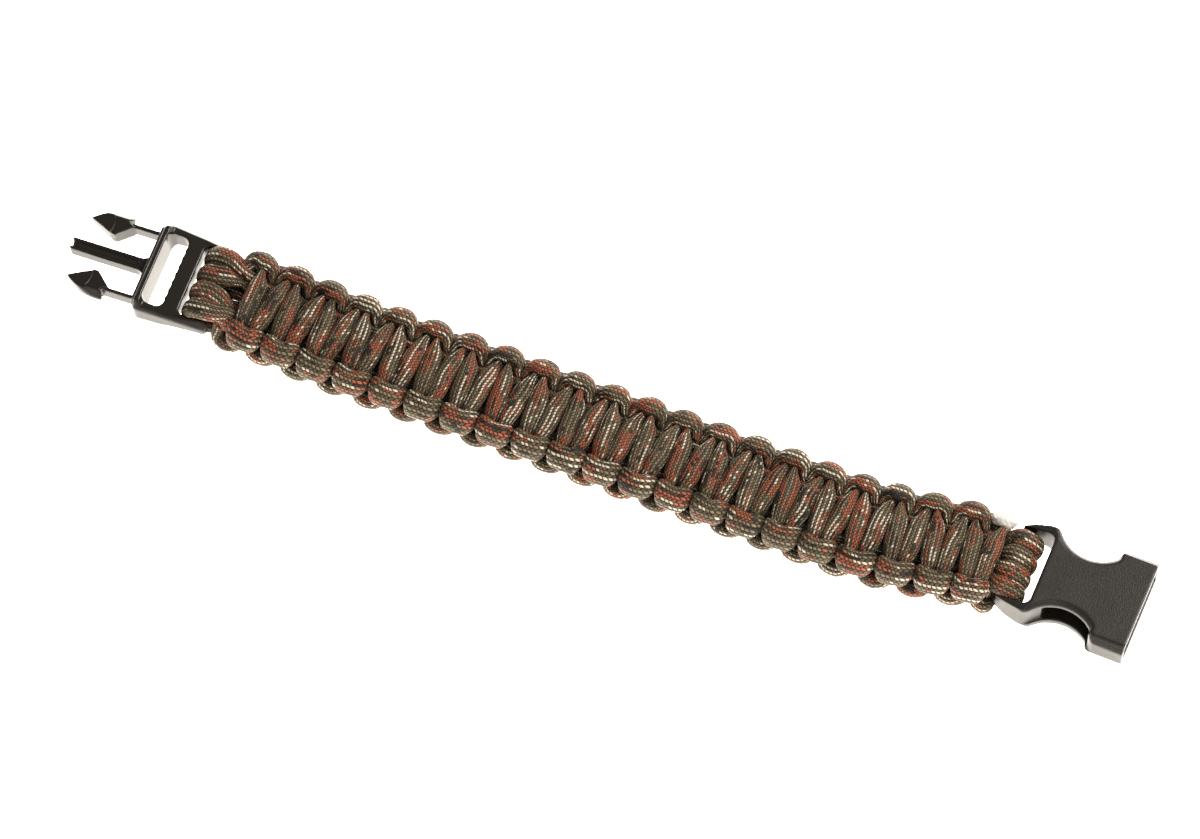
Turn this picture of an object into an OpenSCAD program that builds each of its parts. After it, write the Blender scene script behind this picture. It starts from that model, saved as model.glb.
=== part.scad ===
// Paracord bracelet, laid open and straight: a cobra-stitch band between the
// two halves of a side-release buckle. Millimetres, +X along the band towards
// the socket half, +Z up, table at z = 0.

/* [Band] */
// Length of one half knot along the band
half_knot = 3.88; // [3.4:0.05:4.4]
// Number of half knots in the band
half_knots = 42; // [30:2:50]
// How far the knots lean towards the socket half at the band's +Y edge
skew = 0.045; // [0:0.005:0.06]
// Width of the woven band over its side bumps
band_w = 20.6; // [19:0.1:22]
// Thickness of the woven band
band_t = 11.0; // [10.4:0.1:12]
// Diameter of the round cord before it is pulled tight
cord_d = 3.7; // [3.4:0.05:3.9]
// From the axis of the prong half's end bar to the first half knot
lead_prong = 8.2; // [7.6:0.1:10]
// From the last half knot to the axis of the socket half's end bar
lead_socket = 5.5; // [5.2:0.1:8]
// How far the prong half lies to the +Y side of the band's middle
side_prong = 1.5; // [0:0.1:2.5]
// How far the socket half lies to the +Y side of the band's middle
side_socket = 3.8; // [0:0.1:4.5]

/* [Buckle, both halves] */
// Radius of the round end bars that the cord loops over
bar_r = 1.4; // [1.2:0.05:1.6]
// Length of the slots and of the end bars, for four cords abreast
slot_w = 16.3; // [16:0.1:16.8]

/* [Prong half] */
// Width over the frame
frame_w = 20.4; // [20:0.1:21]
// Height of the front wall
frame_h = 7.6; // [7:0.1:8]
// Thickness of the front wall along the band
front_wall = 1.75; // [1.4:0.05:2.2]
// Width of the gap between the end bar and the middle bar
gap_prong = 3.5; // [3.4:0.1:4.5]
// Width of the empty slot along the band
free_slot = 4.5; // [4:0.1:5.2]
// Width of the ribbed middle bar along the band
middle_bar = 3.35; // [2.8:0.05:4]
// Height of the middle bar
middle_h = 3.8; // [3:0.1:4.4]
// How far the frame rails run past the axis of the end bar
rail_end = 1.9; // [1.7:0.1:2.4]
// Length of the guide tongue beyond the front wall
guide_l = 16.8; // [15:0.1:18]
// Width of the guide tongue
guide_w = 2.7; // [2.2:0.1:3.2]
// Height of the guide tongue
guide_h = 3.2; // [2.6:0.1:3.8]
// Length of a prong from the front wall to its tip
prong_l = 15.4; // [14.4:0.1:16.4]
// Distance of a prong's spring arm from the middle line
prong_y = 7.55; // [7.3:0.05:7.7]
// Width of a prong's spring arm
arm_w = 0.85; // [0.7:0.05:1.1]
// Height of a prong's spring arm
arm_h = 3.3; // [3:0.1:3.8]
// Height of a prong's head
head_h = 4.2; // [3.8:0.1:4.4]
// Half width of the prong half over its two heads
head_y = 9.7; // [9.4:0.1:9.9]
// How far the prong tips droop to the table, in degrees
droop_prong = 6; // [3:0.5:8]

/* [Socket half] */
// Width over the mouth end
socket_w = 21.6; // [21:0.1:22]
// Thickness of the socket half
socket_h = 8.4; // [8.2:0.1:8.8]
// From the axis of the end bar to the mouth
socket_l = 27.2; // [26:0.1:29]
// Thickness of the top and bottom plates
plate_t = 1.95; // [1.8:0.05:2.1]
// Width of the gap between the end bar and the body
gap_socket = 4.4; // [4:0.1:5]
// Half width of the narrow waist
waist_y = 5.9; // [5.5:0.1:6.3]
// Radius of the waist's round hollows
waist_r = 8.45; // [8:0.05:9]
// From the axis of the end bar to the middle of the waist
waist_x = 13.3; // [13:0.1:13.6]
// How far the mouth droops to the table, in degrees
droop_socket = 2.5; // [1:0.5:4]

/* [Hidden] */
$fn = 48;

black = [0.11, 0.10, 0.09];
cord_colour = [0.36, 0.30, 0.22];
core_colour = [0.45, 0.30, 0.22];

// Places that follow from the driving sizes
web_x = bar_r + gap_prong;
free_slot_x = web_x + middle_bar;
wall_x = free_slot_x + free_slot;
front_x = wall_x + front_wall;
prong_reach = front_x + guide_l;
span = lead_prong + (half_knots - 1) * half_knot + lead_socket;
prong_end = prong_reach * cos(droop_prong) + guide_h / 2 * sin(droop_prong);
length_all = prong_end + span
    + socket_l * cos(droop_socket) + socket_h / 2 * sin(droop_socket);
bar_x1 = -length_all / 2 + prong_end;
bar_x2 = bar_x1 + span;
first_leg = bar_x1 + lead_prong;
last_leg = first_leg + (half_knots - 1) * half_knot;
bar_z1 = front_x * sin(droop_prong) + frame_h / 2 * cos(droop_prong);
bar_z2 = socket_l * sin(droop_socket) + socket_h / 2 * cos(droop_socket);
middle_z = band_t / 2;
// The box of the whole part is centred on y = 0
centre_y = (side_socket + socket_w / 2 - band_w / 2) / 2;

// Sideways drift of the band's middle line near each end
drift_prong_l = 36;
drift_socket_l = 37;
drift_end = 4.5;
function smooth(t) = let (u = min(1, max(0, t))) u * u * (3 - 2 * u);
function drift(x) =
    side_prong * smooth((bar_x1 + drift_prong_l - x) / (drift_prong_l + drift_end))
    + side_socket * smooth((x - bar_x2 + drift_socket_l) / (drift_socket_l + drift_end))
    - centre_y;
function lean(x) = (drift(x + 1) - drift(x - 1)) / 2;

// A tube swept along rings, each [centre, outward, thick, wide]: the thickness
// of a section lies along outward, its width across it
sides = 6;
function unit(v) = v / norm(v);
function tangent(rings, i, closed) =
    let (n = len(rings),
         before = closed ? (i + n - 1) % n : max(0, i - 1),
         after = closed ? (i + 1) % n : min(n - 1, i + 1))
    unit(rings[after][0] - rings[before][0]);
function ring_points(rings, i, closed) =
    let (t = tangent(rings, i, closed),
         out = rings[i][1],
         n1 = unit(out - (out * t) * t),
         n2 = cross(t, n1),
         a = rings[i][2] / 2,
         b = rings[i][3] / 2)
    [for (k = [0:sides - 1])
        rings[i][0] + n1 * a * cos(360 * k / sides) + n2 * b * sin(360 * k / sides)];
function side_faces(n, closed) =
    [for (i = [0:(closed ? n : n - 1) - 1]) for (k = [0:sides - 1])
        let (a = i * sides, b = ((i + 1) % n) * sides, m = (k + 1) % sides)
        each [[a + k, b + k, b + m], [a + k, b + m, a + m]]];
module tube(rings, closed = false) {
    n = len(rings);
    points = [for (i = [0:n - 1]) each ring_points(rings, i, closed)];
    ends = closed ? [] : [[for (k = [0:sides - 1]) k],
                          [for (k = [sides - 1:-1:0]) (n - 1) * sides + k]];
    polyhedron(points = points, faces = concat(side_faces(n, closed), ends), convexity = 12);
}
function reversed(list) = [for (i = [len(list) - 1:-1:0]) list[i]];
function mix(a, b, t) = a + (b - a) * t;

// One working strand over one half knot, from the middle of a leg on the
// face to the middle of the bump that wraps round the edge behind it:
// along in half knots from the bump, across in shares of the half width,
// height in shares of the half thickness, outward angle in degrees,
// thickness and width of the section in shares of the cord's diameter
knot_table = [
    // along, across, height, angle, thick, wide
    [-0.50, 0.00, 0.72, 90, 0.80, 1.18],
    [-0.61, 0.50, 0.64, 72, 0.60, 0.80],
    [-0.76, 0.69, 0.24, 25, 0.60, 0.48],
    [-0.77, 0.74, -0.22, -5, 0.70, 0.46],
    [-0.54, 0.82, -0.51, -30, 0.72, 0.82],
    [0.00, 0.825, -0.62, -42, 0.78, 1.24]];
// After a bump's middle, with the same columns: how a strand's end is tucked
// in behind the edge, and how the melted end of the lower strand turns up
tucked_table = [
    [0.46, 0.80, -0.52, -32, 0.72, 0.90],
    [0.72, 0.70, -0.18, -10, 0.55, 0.60]];
melted_table = [
    [-0.55, 0.79, -0.50, -30, 0.80, 0.70],
    [-0.20, 0.79, -0.62, -50, 0.92, 0.90],
    [0.25, 0.78, -0.62, -55, 0.80, 0.80]];
// A table's row as a ring: side is +1 on the +Y edge, face is +1 for the
// strand whose legs are on top. Where the band bends, the knots turn with it
function station(row, x, side, face) =
    let (y = side * row[1] * band_w / 2)
    [[x - y * lean(x) + skew * (y + band_w / 2), y + drift(x),
      middle_z + face * row[2] * band_t / 2],
     [0, side * cos(row[3]), face * sin(row[3])],
     row[4] * cord_d,
     row[5] * cord_d];
function stations(table, from_x, side, face) =
    [for (row = table) station(row, from_x + row[0] * half_knot, side, face)];
function mirrored(table, from, to) =
    [for (i = [from:-1:to]) concat([-table[i][0]], [for (j = [1:5]) table[i][j]])];
bump_row = len(knot_table) - 1;
pass_row = 3;
module strand(face) {
    side = face;
    last_side = half_knots % 2 == 0 ? -side : side;
    first_bump = first_leg - half_knot / 2;
    last_bump = last_leg + half_knot / 2;
    start = concat(mirrored(tucked_table, 1, 0), [knot_table[bump_row]],
                   mirrored(knot_table, bump_row - 1, 1));
    whole = concat(knot_table, mirrored(knot_table, bump_row - 1, 1));
    finish = face > 0
        ? concat(knot_table, [tucked_table[0]])
        : concat([for (i = [0:pass_row]) knot_table[i]], melted_table);
    tube(concat(stations(start, first_bump, -side, face),
                [for (k = [0:half_knots - 2])
                    each stations(whole, first_leg + (k + 0.5) * half_knot,
                                  k % 2 == 0 ? side : -side, face)],
                stations(finish, last_bump, last_side, face)));
}
module front_strand() {
    color(cord_colour) strand(1);
}
module back_strand() {
    color(cord_colour) strand(-1);
}

// One core strand: a loop round both end bars, drawn in flat under the knots
core_gap = 0.05;
loop_t = 0.84 * cord_d;
loop_wide = 1.22 * cord_d;
core_t = 0.66 * cord_d;
core_wide = 0.76 * cord_d;
core_z = core_t / 2 + core_gap;
turn_r = bar_r + loop_t / 2 + core_gap;
lane_bar = (slot_w - 2 * core_gap) / 8;
lane_core = core_wide / 2;
run_step = 22;
run_start = 2.6;
// From an end bar to the core: distance in shares of the lead, then how far
// the height and the lane have gone over from the loop to the core. At the
// prong half the outer loops are drawn in over the inner ones, which leave a
// gap between them on top
approach_outer_top = [
    [0.30, 0.04, 0.20],
    [0.56, 0.25, 0.60],
    [0.80, 0.80, 0.95],
    [1.40, 1.00, 1.05]];
approach_inner_top = [
    [0.26, 0.20, 0.00],
    [0.50, 0.85, -0.20],
    [0.78, 1.00, -0.30],
    [1.40, 1.00, 1.00]];
approach_outer_bottom = [
    [0.30, 0.08, 0.20],
    [0.56, 0.45, 0.80],
    [0.78, 1.00, 1.20],
    [1.40, 1.00, 1.05]];
approach_inner_bottom = [
    [0.26, 0.25, 0.15],
    [0.50, 0.85, 0.60],
    [0.72, 1.00, 0.90],
    [1.40, 1.00, 1.00]];
approach_socket = [
    [0.20, 0.08, 0.08],
    [0.45, 0.55, 0.50],
    [0.68, 1.00, 1.00],
    [1.60, 1.00, 1.00]];
function approach_rings(table, lane, bar_x, bar_z, lead, towards, up) =
    [for (row = table)
        let (x = bar_x + towards * row[0] * lead)
        [[x,
          lane * mix(lane_bar, lane_core, row[2]) + drift(x),
          mix(bar_z + up * turn_r, middle_z + up * core_z, row[1])],
         [0, 0, up],
         mix(loop_t, core_t, row[1]),
         mix(loop_wide, core_wide, min(1, max(row[1], row[2])))]];
function turn_rings(lane, bar_x, bar_z, towards) =
    [for (a = [-90:45:90])
        [[bar_x - towards * turn_r * cos(a), lane * lane_bar + drift(bar_x),
          bar_z + turn_r * sin(a)],
         [-towards * cos(a), 0, sin(a)], loop_t, loop_wide]];
function run_rings(lane, up) =
    let (from = bar_x1 + run_start * lead_prong,
         to = bar_x2 - run_start * lead_socket,
         n = round((to - from) / run_step))
    [for (i = [0:n])
        let (x = mix(from, to, i / n))
        [[x, lane * lane_core + drift(x), middle_z + up * core_z], [0, 0, up],
         core_t, core_wide]];
function approach_prong(lane, up) =
    let (outer = abs(lane) > 1)
    up > 0 ? (outer ? approach_outer_top : approach_inner_top)
           : (outer ? approach_outer_bottom : approach_inner_bottom);
function run(lane, up) =
    concat(approach_rings(approach_prong(lane, up), lane, bar_x1, bar_z1, lead_prong, 1, up),
           run_rings(lane, up),
           reversed(approach_rings(approach_socket, lane, bar_x2, bar_z2,
                                   lead_socket, -1, up)));
module core_strand(lane) {
    color(core_colour)
        tube(concat(turn_rings(lane, bar_x1, bar_z1, 1), run(lane, 1),
                    reversed(turn_rings(lane, bar_x2, bar_z2, -1)), reversed(run(lane, -1))),
             closed = true);
}

// Prong half, drawn with its end bar on the Y axis and its prongs along -X
step_rim = 0.7;
step_depth = 0.4;
slot_corner = 1.5;
rib_count = 7;
rib_r = 0.6;
rib_rise = 0.25;
shoulder_out = 1.4;
shoulder_drop = 1.9;
frame_corner = 1.6;
rail_h = 3.6;
rail_taper = 0.7;
guide_groove_w = 1.3;
guide_groove = 0.5;
guide_notch_r = 1.2;
guide_notch_x = 0.9;
root_r = 2;
arm_root_r = 0.6;
shoulder_l = 5;
wall_ease_x = 0.6;
wall_ease_z = 1;
rail_bevel = 0.8;
// How far a form runs into the one it is joined to, and how long the cuts are
lap = 0.1;
cut = 60;

// A plate's outline with round corners
module rounded_plate(x0, x1, y, corner) {
    union() {
        translate([x0 + corner, -y]) square([x1 - x0 - 2 * corner, 2 * y]);
        translate([x0, -y + corner]) square([x1 - x0, 2 * y - 2 * corner]);
        for (x = [x0 + corner, x1 - corner], side = [-1, 1])
            translate([x, side * (y - corner)]) circle(corner);
    }
}
// A slot's outline, through along Z
module through_slot(x0, x1) {
    translate([0, 0, -cut / 2])
        linear_extrude(cut) rounded_plate(x0, x1, slot_w / 2, slot_corner);
}
// A body as long as it needs to be, with the buckle's shouldered section
module shouldered(w, h, x0, x1) {
    y = w / 2;
    z = h / 2;
    translate([x1, 0, 0]) rotate([90, 0, -90]) linear_extrude(x1 - x0)
        polygon([[-y, -z + shoulder_drop], [-y + shoulder_out, -z],
                 [y - shoulder_out, -z], [y, -z + shoulder_drop],
                 [y, z - shoulder_drop], [y - shoulder_out, z],
                 [-y + shoulder_out, z], [-y, z - shoulder_drop]]);
}
module end_bar() {
    rotate([90, 0, 0]) cylinder(h = slot_w + 1, r = bar_r, center = true);
}
module side_profile(points) {
    translate([0, cut / 2, 0]) rotate([90, 0, 0]) linear_extrude(cut) polygon(points);
}
// What comes off a rail's upper outer edge, to carry the front wall's
// shoulder on down to the end of the rail
module rail_shoulder() {
    rail_l = wall_x + rail_end;
    translate([-wall_x, frame_w / 2 - shoulder_out, frame_h / 2])
        rotate([0, atan((frame_h - rail_h) / 2 / rail_l), -atan(rail_taper / rail_l)])
            rotate([-atan(shoulder_drop / shoulder_out), 0, 0])
                translate([0, -shoulder_l, 0])
                    cube([rail_l + shoulder_l, 2 * shoulder_l, shoulder_l]);
}
module prong_frame() {
    end_z = rail_h / 2;
    difference() {
        intersection() {
            shouldered(frame_w, frame_h, -front_x, rail_end);
            translate([0, 0, -cut / 2])
                linear_extrude(cut)
                    rounded_plate(-front_x, rail_end, frame_w / 2, frame_corner);
            // The rails close in a little towards the end bar
            translate([0, 0, -cut / 2]) linear_extrude(cut)
                for (side = [0, 1]) mirror([0, side])
                    polygon([[-front_x, 0], [-front_x, frame_w / 2], [-wall_x, frame_w / 2],
                             [rail_end, frame_w / 2 - rail_taper], [rail_end, 0]]);
            side_profile([[-front_x, -frame_h / 2], [-wall_x, -frame_h / 2],
                          [-wall_x + wall_ease_x, -frame_h / 2 + wall_ease_z],
                          [-web_x, -end_z], [rail_end - rail_bevel, -end_z],
                          [rail_end, -end_z + rail_bevel], [rail_end, end_z - rail_bevel],
                          [rail_end - rail_bevel, end_z], [-web_x, end_z],
                          [-wall_x + wall_ease_x, frame_h / 2 - wall_ease_z],
                          [-wall_x, frame_h / 2], [-front_x, frame_h / 2]]);
        }
        for (side = [0, 1]) mirror([0, side, 0]) rail_shoulder();
        through_slot(-wall_x, -free_slot_x);
        through_slot(-web_x, rail_end + cut);
        // The step round the front wall's face
        difference() {
            translate([-front_x - 1, -cut / 2, -cut / 2])
                cube([1 + step_rim, cut, cut]);
            shouldered(frame_w - 2 * step_depth, frame_h - 2 * step_depth,
                       -front_x - 2, -front_x + 2);
        }
    }
    end_bar();
    // Ribs along the edge of the middle bar that the free slot shows
    for (i = [0:rib_count - 1])
        translate([-free_slot_x + rib_r - rib_rise,
                   (i - (rib_count - 1) / 2) * (slot_w - 2 * slot_corner) / rib_count, 0])
            cylinder(h = middle_h, r = rib_r, center = true);
}
module guide() {
    difference() {
        translate([-front_x - guide_l, -guide_w / 2, -guide_h / 2])
            cube([guide_l + 2 * lap, guide_w, guide_h]);
        for (side = [-1, 1])
            translate([-front_x - guide_l - 1, -guide_groove_w / 2,
                       side * guide_h / 2 - guide_groove])
                cube([guide_l - 1, guide_groove_w, 2 * guide_groove]);
        translate([-front_x - guide_l - guide_notch_x, 0, 0])
            cylinder(h = guide_h + 1, r = guide_notch_r, center = true);
    }
    root_fillets(guide_w / 2, root_r, guide_h);
}
// Round corners on both sides where a piece of this half width leaves the wall
module root_fillets(y, r, h, from_y = 0) {
    for (side = [-1, 1])
        translate([-front_x + lap, from_y + side * y, 0])
            difference() {
                translate([-r - lap, side > 0 ? 0 : -r, -h / 2]) cube([r + lap, r, h]);
                translate([-r - lap, side * r, 0]) cylinder(h = h + 1, r = r, center = true);
            }
}
// One prong on the +Y side: a thin spring arm and a head like half an arrow
prong_back = 7;
head_inner_x = 9;
head_inner_y = 4.3;
head_arc_r = 12;
nose_x = 10.2;
nose_r = 4.2;
nose_y = 6;
nose_drop = 0.35;
nose_border = 0.4;
tip_h = 2;
tip_in = 0.7;
tip_out = 0.6;
tip_slope = 0.3;
barb_x = 0.6;
barb_edge = 0.9;
barb_slope = 0.2;
barb_hook = 0.4;
neck_l = 1.2;
module prong() {
    translate([-front_x - prong_back, prong_y - arm_w / 2, -arm_h / 2])
        cube([prong_back + 2 * lap, arm_w, arm_h]);
    root_fillets(arm_w / 2, arm_root_r, arm_h, from_y = prong_y);
    intersection() {
        translate([-front_x, 0, -cut / 2]) linear_extrude(cut)
            intersection() {
                polygon([[-prong_l, prong_y - tip_in],
                         [-prong_l + tip_slope, prong_y + tip_out],
                         [-prong_back + barb_x, head_y + 1],
                         [-prong_back + barb_x - barb_slope, head_y - barb_edge],
                         [-prong_back - barb_hook, prong_y + arm_w / 2],
                         [-prong_back + neck_l, prong_y - arm_w / 2],
                         [-head_inner_x, head_inner_y],
                         [-head_inner_x - 1, head_inner_y + lap]]);
                translate([-prong_back - arm_w / 2, head_y - head_arc_r])
                    circle(head_arc_r, $fn = 96);
            }
        side_profile([[-front_x - prong_l, -tip_h / 2], [-front_x - nose_x, -head_h / 2],
                      [-front_x, -head_h / 2], [-front_x, head_h / 2],
                      [-front_x - nose_x, head_h / 2], [-front_x - prong_l, tip_h / 2]]);
        // The nose is set lower than the rest of the head, with a round border
        difference() {
            translate([-cut, -cut / 2, -cut / 2]) cube([cut, cut, cut]);
            for (up = [-1, 1])
                translate([-front_x - nose_x - nose_r + nose_border, nose_y,
                           up * (head_h / 2 - nose_drop + tip_h)])
                    cylinder(h = 2 * tip_h, r = nose_r, center = true);
        }
        shouldered(2 * head_y, head_h + 0.01, -cut, 0);
    }
}
module male_buckle() {
    color(black)
        translate([bar_x1, drift(bar_x1), bar_z1]) rotate([0, -droop_prong, 0]) {
            prong_frame();
            guide();
            for (side = [0, 1]) mirror([0, side, 0]) prong();
        }
}

// Socket half, drawn with its end bar on the Y axis and its mouth along +X
arm_y = 10;
arm_end = 1.9;
arm_level_x = 12;
// Half width of the two arms from their ends inwards, and their half height
arm_widths = [[-arm_end - 1, 6.2], [-arm_end + 0.7, 8.3], [1, 9.1], [5, arm_y], [6.2, arm_y]];
arm_heights = [[-arm_end, 1.5], [-arm_end + 0.8, 2.5], [1, 3.3]];
cavity_x = 8.6;
cavity_wall = 1.6;
window_end = 18.4;
waist_end = 19.1;
waist_bevel = 0.9;
bottom_waist = 0.8;
waist_corner = 2.6;
corner_over = 0.15;
channel_gap = 0.3;
channel_wall = 0.9;
channel_end = 24.5;
channel_lap = 0.5;
module socket_outline() {
    for (side = [0, 1]) mirror([0, side])
        polygon(concat([[-arm_end - 1, 0]], arm_widths,
                       [[waist_end, socket_w / 2 - lap], [socket_l + 1, socket_w / 2],
                        [socket_l + 1, 0]]));
}
function arc_points(x, y, r, from, to, steps, first = 0) =
    [for (i = [first:steps]) let (a = mix(from, to, i / steps)) [x + r * cos(a), y + r * sin(a)]];
// The hollow of the waist on the +Y side: a round corner off the arm, the round
// hollow, a steep wall and a round corner onto the mouth's side. The corners
// run out just past the sides, so that they meet them at a clean edge
function waist_outline(inset) =
    let (hollow_y = waist_y + inset + waist_r,
         arm_cy = arm_y + corner_over - waist_corner,
         both = waist_r + waist_corner,
         rise = asin((hollow_y - arm_cy) / both),
         arm_cx = waist_x - both * cos(rise),
         wall = waist_end - inset / 2,
         wall_a = 360 - acos((wall - waist_x) / waist_r),
         mouth_side = socket_w / 2 + corner_over,
         mouth_r = min(waist_corner, mouth_side - hollow_y - waist_r * sin(wall_a)))
    concat([[arm_cx, cut]],
           arc_points(arm_cx, arm_cy, waist_corner, 90, rise, 8),
           arc_points(waist_x, hollow_y, waist_r, 180 + rise, wall_a, 24, first = 1),
           arc_points(wall + mouth_r, mouth_side - mouth_r, mouth_r, 180, 90, 8, first = 1),
           [[wall + mouth_r, cut]]);
module waist_hollows(inset) {
    for (side = [0, 1]) mirror([0, side]) polygon(waist_outline(inset));
}
// The bevel round the top plate's edge at the waist
module waist_bevels() {
    drop = waist_bevel + 2 * lap;
    intersection() {
        for (side = [-1, 1])
            translate([waist_x, side * (waist_y + waist_r), socket_h / 2 - drop])
                cylinder(h = drop + lap, r1 = waist_r - 2 * lap, r2 = waist_r + waist_bevel + lap,
                         $fn = 96);
        translate([0, -cut / 2, 0]) cube([waist_end + 0.5, cut, cut]);
    }
}
module female_buckle() {
    cavity_h = socket_h - 2 * plate_t;
    channel_y = guide_w / 2 + channel_gap;
    color(black)
        translate([bar_x2, drift(bar_x2), bar_z2]) rotate([0, droop_socket, 0]) {
            difference() {
                intersection() {
                    shouldered(socket_w, socket_h, -arm_end - 2, socket_l);
                    translate([0, 0, -cut / 2]) linear_extrude(cut) socket_outline();
                    // Level over the shell, thinner towards the arms' ends
                    side_profile(concat([[socket_l + 1, -socket_h / 2 - 1],
                                         [arm_level_x, -socket_h / 2 - 1]],
                                        [for (row = reversed(arm_heights)) [row[0], -row[1]]],
                                        arm_heights,
                                        [[arm_level_x, socket_h / 2 + 1],
                                         [socket_l + 1, socket_h / 2 + 1]]));
                }
                through_slot(-cut, bar_r + gap_socket);
                // The bottom plate is a little wider at the waist than the top one
                translate([0, 0, -cavity_h / 2]) linear_extrude(cut) waist_hollows(0);
                translate([0, 0, -cut]) linear_extrude(cut - cavity_h / 2 + 0.5)
                    waist_hollows(bottom_waist);
                waist_bevels();
                // The hollow that takes the prongs, open at the mouth
                translate([window_end, -socket_w / 2 + cavity_wall, -cavity_h / 2])
                    cube([cut, socket_w - 2 * cavity_wall, cavity_h]);
                // The windows that the prong heads spring out of
                translate([cavity_x, -cut / 2, -cavity_h / 2])
                    cube([window_end + lap - cavity_x, cut, cavity_h]);
            }
            end_bar();
            for (side = [0, 1]) mirror([0, side, 0])
                translate([cavity_x - channel_lap, channel_y, -cavity_h / 2 - lap])
                    cube([channel_end - cavity_x, channel_wall, cavity_h + 2 * lap]);
        }
}

male_buckle();
female_buckle();
front_strand();
back_strand();
core_strand(-3);  // core_strand_1
core_strand(-1);  // core_strand_2
core_strand(1);  // core_strand_3
core_strand(3);  // core_strand_4
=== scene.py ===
"""Looks of the paracord bracelet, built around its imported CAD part.

Lengths in the tables are millimetres, as in the CAD source, and every Blender
object is in metres in the same frame: +X along the band towards the socket
half, +Z up, and the solids stand on z = 0.
"""

import math
import bmesh
import bpy
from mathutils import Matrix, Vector, noise


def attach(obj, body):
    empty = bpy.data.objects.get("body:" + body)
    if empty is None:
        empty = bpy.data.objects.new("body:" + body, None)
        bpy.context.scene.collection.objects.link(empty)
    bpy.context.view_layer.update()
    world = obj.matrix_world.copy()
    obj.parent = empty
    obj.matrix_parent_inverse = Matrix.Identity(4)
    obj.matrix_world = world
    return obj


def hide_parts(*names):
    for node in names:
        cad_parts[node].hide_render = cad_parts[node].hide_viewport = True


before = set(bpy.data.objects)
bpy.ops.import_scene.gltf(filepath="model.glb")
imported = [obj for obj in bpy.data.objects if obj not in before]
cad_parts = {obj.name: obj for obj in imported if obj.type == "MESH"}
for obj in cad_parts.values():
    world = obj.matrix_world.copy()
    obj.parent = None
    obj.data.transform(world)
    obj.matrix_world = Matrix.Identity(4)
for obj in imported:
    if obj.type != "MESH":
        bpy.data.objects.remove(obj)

bl_info = {
    "name": "Paracord bracelet",
    "version": (1, 0, 0),
    "blender": (4, 5, 0),
    "location": "View3D > Sidebar > Bracelet",
    "description": "Braided cords, moulded buckle halves and studio for a paracord bracelet",
    "category": "Object",
}

MM = 0.001
BODY = "root"

# Sizes shared with the CAD source
HALF_KNOT = 3.88
HALF_KNOTS = 42
BAND_W = 20.6
BAND_T = 11.0
CORD_D = 3.7
LEAD_PRONG = 8.2
LEAD_SOCKET = 5.5
SIDE_PRONG = 1.5
SIDE_SOCKET = 3.8
BAR_R = 1.4
SLOT_W = 16.3
SOCKET_W = 21.6
BAR_X1 = -84.421
FIRST_LEG = BAR_X1 + LEAD_PRONG
LAST_LEG = FIRST_LEG + (HALF_KNOTS - 1) * HALF_KNOT
BAR_X2 = LAST_LEG + LEAD_SOCKET
BAR_Z1 = 5.295
BAR_Z2 = 5.382
MIDDLE_Z = BAND_T / 2
CENTRE_Y = (SIDE_SOCKET + SOCKET_W / 2 - BAND_W / 2) / 2
DRIFT_PRONG_L = 36
DRIFT_SOCKET_L = 37
DRIFT_END = 4.5

# One working strand over one half knot, from the middle of a leg to the
# middle of the bump behind it: along in half knots, across in shares of the
# half width, height in shares of the half thickness, outward angle in
# degrees, how far outward turns away along the band, thickness and width in
# shares of the cord's diameter
KNOT = [
    (-0.50, 0.00, 0.70, 90, 0.0, 0.92, 1.08),
    (-0.57, 0.28, 0.69, 84, 0.0, 0.90, 1.03),
    (-0.68, 0.50, 0.61, 68, 0.0, 0.82, 0.88),
    (-0.76, 0.63, 0.35, 38, 0.0, 0.74, 0.76),
    (-0.76, 0.64, 0.05, 5, -0.4, 0.70, 0.80),
    (-0.73, 0.68, -0.18, -15, -0.8, 0.66, 1.10),
    (-0.66, 0.745, -0.38, -32, -0.85, 0.76, 1.28),
    (-0.47, 0.805, -0.51, -42, -0.5, 0.96, 1.38),
    (-0.22, 0.83, -0.535, -47, -0.15, 1.04, 1.41),
    (0.00, 0.835, -0.54, -49, 0.0, 1.06, 1.42),
]
# With the same columns: how a strand's end is tucked in behind the last bump,
# how its start lies hidden under the first one, and how the melted end of the
# lower strand turns up after the row where it passes the edge
TUCKED = [
    (0.44, 0.80, -0.50, -38, 0.4, 1.00, 1.20),
    (0.60, 0.66, -0.20, -12, 0.8, 0.80, 1.10),
]
DEEP_START = [
    (0.66, 0.58, 0.10, 5, 0.8, 0.70, 1.10),
    (0.45, 0.58, 0.26, 30, 0.4, 0.65, 1.05),
    (-0.15, 0.66, 0.26, 60, 0.0, 0.70, 1.10),
]
PASS_ROW = 4
MELTED = [
    (-0.55, 0.79, -0.50, -30, 0.0, 0.80, 0.70),
    (-0.20, 0.79, -0.62, -50, 0.0, 0.92, 0.90),
    (0.25, 0.78, -0.62, -55, 0.0, 0.80, 0.80),
]
# How far the knots lean towards the socket half at the band's +Y edge
SKEW = 0.045
# The legs on top, from this height up: how far they lean at the +Y and the -Y
# edge, in shares of what the knot table says
LEG_HEIGHT = 0.2
FAR_LEAN = 1.12
NEAR_LEAN = 0.66
# Towards the +Y edge they are drawn narrow by this share, over this stretch of
# the half width
FAR_PINCH = 0.58
PINCH_FROM = 0.25
PINCH_OVER = 0.4
# The lower strand's bumps, between two heights each: at the +Y edge their feet
# stand further in and are wider, and their shoulders are narrower. At the -Y
# edge the shoulders are wider
FOOT_FROM = -0.3
FOOT_TO = 0.1
FAR_FOOT_IN = 0.08
FAR_FOOT_WIDE = 1.15
SHOULDER_FROM = -0.52
FAR_SHOULDER = 0.86
NEAR_SHOULDER = 1.12
# The upper side of the band lies a little towards -Y of the lower side
SHEAR = 0.09
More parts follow.
